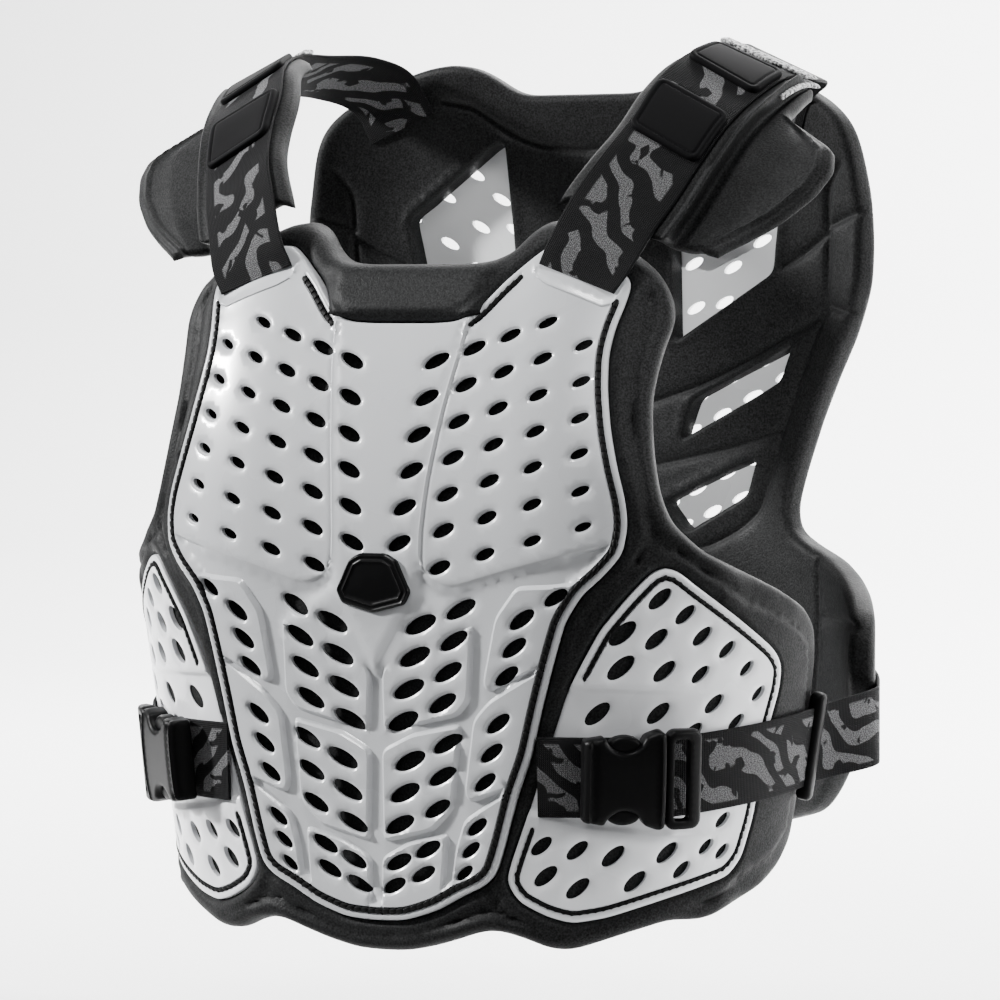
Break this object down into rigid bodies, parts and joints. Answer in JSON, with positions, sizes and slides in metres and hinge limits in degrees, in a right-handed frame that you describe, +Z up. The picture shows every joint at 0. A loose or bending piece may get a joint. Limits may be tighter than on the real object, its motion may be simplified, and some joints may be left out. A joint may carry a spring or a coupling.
{
  "type": "roost deflector",
  "caption": "Off-road chest and back protector: vented white plates on dark foam pads, held by patterned webbing over the shoulders and buckled webbing at the waist.",
  "frame": {"origin": "where the shoulder straps rest on the wearer, on the centre line", "axes": "+Z up, -Y out of the chest, +X to the wearer's left"},
  "size_m": [0.4062, 0.279, 0.4612],
  "materials": {
    "foam": "fine charcoal knit bonded over moulded foam",
    "plate": "glossy white moulded plastic with a black stitched border",
    "badge": "glossy black with a raised rim, bare",
    "webbing": "black woven webbing with an abstract grey motif",
    "patch": "plain black sewn patch",
    "tab": "satin black moulded rubber",
    "buckle": "satin black moulded plastic"
  },
  "bodies": {
    "root": {"front_foam": "foam", "chest_plate": "plate", "badge": "badge", "back_foam": "foam", "back_plate": "plate", "back_patch": "patch", "flank_plate_left": "plate", "flank_plate_right": "plate", "shoulder_strap_left": "webbing", "shoulder_strap_right": "webbing", "shoulder_pad_left": "foam", "shoulder_pad_right": "foam", "front_tab_left": "tab", "front_tab_right": "tab", "rear_tab_left": "tab", "rear_tab_right": "tab", "waist_strap_front_left": "webbing", "waist_strap_front_right": "webbing", "waist_strap_rear_left": "webbing", "waist_strap_rear_right": "webbing", "buckle_body_left": "buckle", "buckle_body_right": "buckle", "buckle_tongue_left": "buckle", "buckle_tongue_right": "buckle", "strap_slider_left": "buckle", "strap_slider_right": "buckle"}
  },
  "joints": []
}
